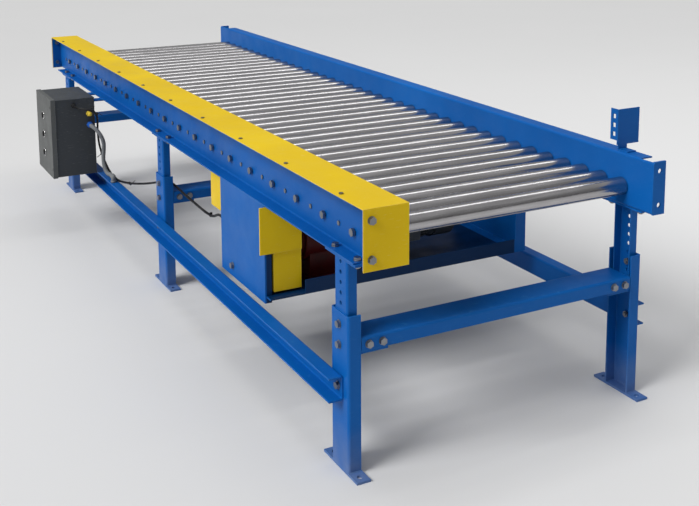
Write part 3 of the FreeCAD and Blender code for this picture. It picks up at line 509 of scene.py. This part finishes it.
blue_coat = powder_coat("blue_powder_coat", frame_blue, worn_blue, dark_blue, 0.42)
coat(["side_channels", "legs", "stand_braces", "accessory_brackets"], blue_coat)
# Painted shade under the bed on the cross members and drive frame, between these two planes.
shade_near_face = bed_y - 0.437
shade_far_face = bed_y + 0.364
painted_shade_coat = painted_under_bed_shade(powder_coat("under_bed_shade_coat", frame_blue, worn_blue, dark_blue, 0.42),
                  shade_near_face, shade_far_face)
coat(["bed_cross_members", "drive_frame"], painted_shade_coat)

# ---------------------------------------------------------------------------------------------------
# Rollers
# Welded steel tubes on bearings, bright zinc plated, each with two chain sprockets welded to its near
# end. The plating is drawn along the tube and polished round it by the loads that pass.
# ---------------------------------------------------------------------------------------------------
roller_names = sorted(name for name in nodes if name.startswith("roller_") and name[-1].isdigit())


def zinc_plate(name, colour, roughness, drawn):
    """Bright zinc over drawn steel: streaks along the stock and a faint spangle."""
    material, tree, shader, place = new_material(name, roughness, 1.0)
    streaks = noise(tree, place, 40, 4, drawn)
    spangle = noise(tree, place, 12)
    dull = [channel * 0.72 for channel in colour[:3]] + [1]
    tone = mixed(tree, between(tree, streaks, 0.3, 0.7), dull, colour)
    shade = mixed(tree, between(tree, spangle, 0.45, 0.7, 0.0, 0.4), tone, dull)
    tree.links.new(shade, shader.inputs["Base Color"])
    rough = between(tree, streaks, 0.25, 0.75, roughness - 0.05, roughness + 0.09)
    tree.links.new(rough, shader.inputs["Roughness"])
    bumped(tree, shader, streaks, 0.0001, 0.4)
    return material


roller_zinc = zinc_plate("roller_zinc", (0.50, 0.49, 0.50, 1), 0.20, (3, 0.15, 3))
coat(roller_names, roller_zinc)
coat(["roller_axles", "frame_bolts"], zinc_plate("fastener_zinc", (0.30, 0.31, 0.33, 1), 0.38, (1, 1, 1)))

# ---------------------------------------------------------------------------------------------------
# Chains
# Number 40 roller chain, 12.7 mm pitch: one endless loop from each roller to the next, side by side in
# turn, and the drive chain down to the reducer. Oiled dark steel, its plates stamped waisted.
# ---------------------------------------------------------------------------------------------------
chain_pitch = 0.0127
sprocket_teeth = 12
pitch_radius = chain_pitch / 2 / math.sin(math.pi / sprocket_teeth)
link_half_height = 0.0056
link_waist = 0.0044
link_thickness = 0.0011
inner_plate_y = 0.0046
outer_plate_y = 0.0060
link_roller = (0.0039, 0.0038)
link_pin = (0.0066, 0.0019)
chain_offsets = (-0.384, -0.368)
drive_offset = -0.350
link_steel_oiled, tree, shader, place = new_material("chain_steel", 0.38, 1.0)
oil = between(tree, noise(tree, place, 60), 0.35, 0.65)
tree.links.new(mixed(tree, oil, (0.11, 0.10, 0.09, 1), (0.26, 0.25, 0.24, 1)), shader.inputs["Base Color"])
tree.links.new(between(tree, noise(tree, place, 120), 0.3, 0.7, 0.28, 0.5), shader.inputs["Roughness"])
bumped(tree, shader, noise(tree, place, 900), 0.0001, 0.5)


def link_plate(bm, y):
    """One stamped plate between two pins, its pins half a pitch each side of the middle."""
    outline = []
    for end in (1, -1):
        for k in range(5):
            angle = math.radians(-90 + 45 * k)
            outline.append((end * (chain_pitch / 2 + link_half_height * math.cos(angle)),
                            end * link_half_height * math.sin(angle)))
        outline.append((0, end * link_waist))
    rims = [[bm.verts.new((x, y + side * link_thickness / 2, z)) for x, z in outline] for side in (1, -1)]
    for k in range(len(outline)):
        bm.faces.new((rims[0][k], rims[0][k - 1], rims[1][k - 1], rims[1][k]))
    bm.faces.new(rims[0])
    bm.faces.new(rims[1])


def link_piece(name, plate_y):
    """A link's two plates with one pin and roller, at the link's leading end."""
    bm = bmesh.new()
    for side in (1, -1):
        link_plate(bm, side * plate_y)
    pin = standing(Vector((chain_pitch / 2, 0, 0)), Vector((0, 1, 0)))
    for (reach, radius), sides in ((link_roller, 8), (link_pin, 6)):
        turned(bm, [(-reach, 0.0), (-reach, radius), (reach, radius), (reach, 0.0)], pin, sides)
    bmesh.ops.recalc_face_normals(bm, faces=bm.faces[:])
    mesh = bpy.data.meshes.new(name)
    bm.to_mesh(mesh)
    bm.free()
    return bpy.data.objects.new(name, mesh)


def repeat_tree():
    """Puts one piece at every point, turned as the point says, with a little seeded size change."""
    sizes = {"Piece": ("Object", None), "Size": ("Float", 1.0), "Unevenness": ("Float", 0.0),
             "Seed": ("Int", 1), "Material": ("Material", None)}
    tree, given = new_tree("repeat_piece", sizes)
    piece = join(tree, "GeometryNodeObjectInfo", {"Object": given["Piece"], "As Instance": True})
    spin = join(tree, "GeometryNodeInputNamedAttribute", {"Name": "turn"}, data_type="FLOAT_VECTOR")
    rotation = join(tree, "FunctionNodeEulerToRotation", {0: spin.outputs[0]}).outputs[0]
    low = join(tree, "ShaderNodeMath", {0: 1.0, 1: given["Unevenness"]}, operation="SUBTRACT").outputs[0]
    high = join(tree, "ShaderNodeMath", {0: 1.0, 1: given["Unevenness"]}, operation="ADD").outputs[0]
    chance = join(tree, "FunctionNodeRandomValue", {"Seed": given["Seed"]})
    for socket, bound in (("Min", low), ("Max", high)):
        tree.links.new(bound, [s for s in chance.inputs if s.name == socket and s.type == "VALUE"][0])
    random = [s for s in chance.outputs if s.type == "VALUE"][0]
    scale = join(tree, "ShaderNodeMath", {0: random, 1: given["Size"]}, operation="MULTIPLY").outputs[0]
    placed = join(tree, "GeometryNodeInstanceOnPoints", {"Points": given["Geometry"],
                                                         "Instance": piece.outputs["Geometry"],
                                                         "Rotation": rotation, "Scale": scale})
    close_tree(tree, placed.outputs[0], given["Material"])
    return tree


piece_tree = repeat_tree()


def repeated(name, piece, spots, material, body="frame", size=1.0, unevenness=0.0, seed=1):
    """One mesh that holds a copy of piece at every spot, each spot a point and a turn."""
    mesh = bpy.data.meshes.new(name + "_spots")
    mesh.from_pydata([spot for spot, _ in spots], [], [])
    turns = mesh.attributes.new("turn", "FLOAT_VECTOR", "POINT")
    for item, (_, turn) in zip(turns.data, spots):
        item.vector = turn
    start = bpy.data.objects.new(name + "_spots", mesh)
    bpy.context.scene.collection.objects.link(start)
    values = {"Piece": piece, "Size": size, "Unevenness": unevenness, "Seed": seed, "Material": material}
    return grown(name, start, piece_tree, values, body)


def loop_pins(centre_a, centre_b):
    """The pins of an endless chain round two equal sprockets, in the XZ plane of their centres."""
    along = (centre_b - centre_a).normalized()
    side = Vector((0, 1, 0)).cross(along)
    straight = round((centre_b - centre_a).length / chain_pitch)
    pins = [centre_a + side * pitch_radius + along * chain_pitch * k for k in range(straight)]
    for centre, sign, far in ((centre_b, 1, 1), (centre_a, -1, 0)):
        for k in range(sprocket_teeth // 2):
            angle = math.pi * k / (sprocket_teeth // 2)
            spoke = side * math.cos(angle) * sign + along * math.sin(angle) * sign
            pins.append(centre + spoke * pitch_radius)
        if far:
            pins += [centre_b - side * pitch_radius - along * chain_pitch * k for k in range(straight)]
    return pins


roller_spots = [(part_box(name)[0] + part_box(name)[1]) / 2 for name in roller_names]
axis_z = roller_spots[0].z
loops = []
for k in range(len(roller_names) - 1):
    y = bed_y + chain_offsets[k % 2]
    rear, front = roller_spots[k + 1].x, roller_spots[k].x
    loops.append(loop_pins(Vector((rear, y, axis_z)), Vector((front, y, axis_z))))
sprocket_spin = [joint for joint in frame["joints"] if joint["name"] == "reducer_sprocket_spin"][0]
drive_x, _, drive_z = sprocket_spin["pos_m"]
loops.append(loop_pins(Vector((drive_x, bed_y + drive_offset, drive_z)),
                       Vector((drive_x, bed_y + drive_offset, axis_z))))
inner_spots, outer_spots = [], []
for pins in loops:
    for k, pin in enumerate(pins):
        following = pins[(k + 1) % len(pins)]
        step = following - pin
        lean = Euler((0, math.atan2(-step.z, step.x), 0))
        (inner_spots, outer_spots)[k % 2].append(((pin + following) / 2, lean))
inner_links = repeated("inner_links", link_piece("inner_link", inner_plate_y), inner_spots, link_steel_oiled)
repeated("outer_links", link_piece("outer_link", outer_plate_y), outer_spots, link_steel_oiled)
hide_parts("roller_chains")
coat(["reducer_sprocket"], link_steel_oiled)

# ---------------------------------------------------------------------------------------------------
# Welds
# Foot plates and butt plates are joined by short runs of weld that were laid by hand and then powder coated with
# the frame.
# ---------------------------------------------------------------------------------------------------
weld_step = 0.0035
bead = bmesh.new()
bmesh.ops.create_icosphere(bead, subdivisions=1, radius=1.0)
bead_mesh = bpy.data.meshes.new("bead")
bead.to_mesh(bead_mesh)
bead.free()
weld_bead = bpy.data.objects.new("bead", bead_mesh)
feet = [Vector(mount["pos_m"]) for mount in frame["record"]["mounts"] if mount["name"].startswith("anchor")]
weld_inset = 0.012
bead_radius = 0.0026
butt_plate_seam = 0.402
butt_plate = 0.006
leg_face = 0.440
leg_half = 0.043
leg_flange = 0.034
plate_top = 0.006
weld_runs = []
for foot in feet:
    out = 1 if foot.y > bed_y else -1
    face = bed_y + out * leg_face
    tip = face - out * leg_flange
    for end in (-1, 1):
        x = foot.x + end * leg_half
        weld_runs.append((Vector((x, face - out * 0.006, plate_top)), Vector((x, tip, plate_top))))
    weld_runs.append((Vector((foot.x - 0.035, face - out * 0.004, plate_top)),
                      Vector((foot.x + 0.035, face - out * 0.004, plate_top))))
for end in (-1, 1):
    for side in (-1, 1):
        x = end * (bed_high.x - butt_plate)
        y = bed_y + side * butt_plate_seam
        weld_runs.append((Vector((x, y, bed_low.z + weld_inset)), Vector((x, y, bed_high.z - weld_inset))))
weld_spots = []
for start, finish in weld_runs:
    count = int((finish - start).length / weld_step)
    for k in range(count + 1):
        weld_spots.append((start.lerp(finish, k / count), Euler((0.4, 0.2 * (k % 3), 0.7 * k))))
repeated("weld_beads", weld_bead, weld_spots, blue_coat, size=bead_radius, unevenness=0.18,
         seed=7)

# ---------------------------------------------------------------------------------------------------
# Chain guards
# Folded sheet in safety yellow: the long cover over the roller chains, and the box round the drive chain. The coat
# is scuffed in streaks and rubbed paler on its folds and edges.
# ---------------------------------------------------------------------------------------------------
guard_yellow = (0.82, 0.575, 0.006, 1)
rubbed_yellow = (0.80, 0.63, 0.16, 1)
deep_yellow = (0.66, 0.43, 0.004, 1)
yellow_coat = powder_coat("yellow_powder_coat", guard_yellow, rubbed_yellow, deep_yellow, 0.38)
coat(["chain_guard", "drive_chain_guard"], yellow_coat)

# ---------------------------------------------------------------------------------------------------
# Gearmotor
# A cast iron gear case in dark red enamel, with the casting's grain showing through, bolted to a dark
# grey finned motor. The fan cowl's end is a pressed grille.
# ---------------------------------------------------------------------------------------------------
red_enamel, tree, shader, place = new_material("red_enamel", 0.42)
worn_patches = between(tree, noise(tree, place, 16), 0.55, 0.72, 0.0, 0.6)
tree.links.new(mixed(tree, worn_patches, (0.06, 0.004, 0.004, 1), (0.015, 0.009, 0.009, 1)),
               shader.inputs["Base Color"])
tree.links.new(between(tree, noise(tree, place, 30), 0.3, 0.7, 0.32, 0.55), shader.inputs["Roughness"])
bumped(tree, shader, noise(tree, place, 320, 4), 0.0006, 0.6)
coat(["gear_reducer"], red_enamel)
motor_enamel = powder_coat("motor_enamel", (0.035, 0.042, 0.052, 1), (0.12, 0.13, 0.14, 1),
                           (0.02, 0.024, 0.03, 1), 0.45)
coat(["motor"], motor_enamel)

cowl_radius = 0.072
grille_bars = 28
grille_bar = bmesh.new()
slab(grille_bar, (-0.0016, -0.0015, 0.022), (0.0016, 0.0015, cowl_radius - 0.006))
bar_mesh = bpy.data.meshes.new("grille_bar")
grille_bar.to_mesh(bar_mesh)
grille_bar.free()
cowl_end = Vector((drive_x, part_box("motor")[1].y + 0.001, drive_z))
bar_spots = [(cowl_end, Euler((0, 2 * math.pi * k / grille_bars, 0))) for k in range(grille_bars)]
repeated("fan_grille", bpy.data.objects.new("grille_bar", bar_mesh), bar_spots, motor_enamel)
bm = bmesh.new()
turned(bm, [(0, 0.0), (0, 0.020), (0.003, 0.020), (0.004, 0.018), (0.004, 0.0)],
       standing(cowl_end, Vector((0, 1, 0))), 40)
new_piece("fan_grille_hub", bm, motor_enamel, "frame")

# ---------------------------------------------------------------------------------------------------
# Control enclosure
# A dark grey sheet steel box with a lighter hinged door, a black rubber door seal and three round
# black push buttons in chromed collars.
# ---------------------------------------------------------------------------------------------------
box_coat = powder_coat("enclosure_coat", (0.060, 0.066, 0.072, 1), (0.20, 0.21, 0.22, 1),
                       (0.04, 0.045, 0.05, 1), 0.5)
door_coat = powder_coat("door_coat", (0.108, 0.113, 0.112, 1), (0.24, 0.25, 0.25, 1),
                        (0.085, 0.09, 0.09, 1), 0.48)
coat(["control_enclosure"], box_coat)
coat(["enclosure_door"], door_coat)

box_low, box_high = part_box("control_enclosure")
seal_rubber = sheath("seal_rubber", (0.010, 0.010, 0.010, 1), 0.7)
seal_width = 0.006
seal_depth = 0.012
seal_inset = 0.004
door_width = 0.250
seal_back = box_high.y - 0.1535
seal = bmesh.new()
seal_x = (box_high.x - door_width, box_high.x - seal_inset)
seal_z = (box_low.z + seal_inset, box_high.z - seal_inset)
for x in (seal_x[0], seal_x[1] - seal_width):
    slab(seal, (x, seal_back - seal_depth, seal_z[0]), (x + seal_width, seal_back, seal_z[1]))
for z in (seal_z[0], seal_z[1] - seal_width):
    slab(seal, (seal_x[0], seal_back - seal_depth, z), (seal_x[1], seal_back, z + seal_width))
new_piece("door_seal", seal, seal_rubber, "enclosure_door")

button_radius = 0.011
collar_radius = 0.0156
door_face = seal_back - 0.0165
chrome = zinc_plate("chrome", (0.75, 0.75, 0.75, 1), 0.18, (1, 1, 1))
for name in ("start_button", "stop_button", "reset_button"):
    low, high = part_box(name)
    middle = Vector(((low.x + high.x) / 2, low.y, (low.z + high.z) / 2))
    bm = bmesh.new()
    turned(bm, [(0.0006, 0.0), (0.0003, 0.004), (0.0, 0.0085), (0.0006, 0.0102), (0.0022, button_radius),
                (0.0115, button_radius), (0.0115, 0.0130), (0.0135, 0.0130), (0.0135, 0.004),
                (high.y - low.y, 0.004), (high.y - low.y, 0.0)], standing(middle, Vector((0, 1, 0))), 48)
    made = new_piece(name + "_cap", bm, black_nylon, name)
    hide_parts(name)
    bm = bmesh.new()
    turned(bm, [(0.0, 0.0117), (0.0036, 0.0120), (0.0036, 0.0146), (0.0024, collar_radius),
                (0.0, collar_radius), (0.0, 0.0117)],
           standing(Vector((middle.x, door_face, middle.z)), Vector((0, -1, 0))), 48)
    new_piece(name + "_collar", bm, chrome, "enclosure_door")
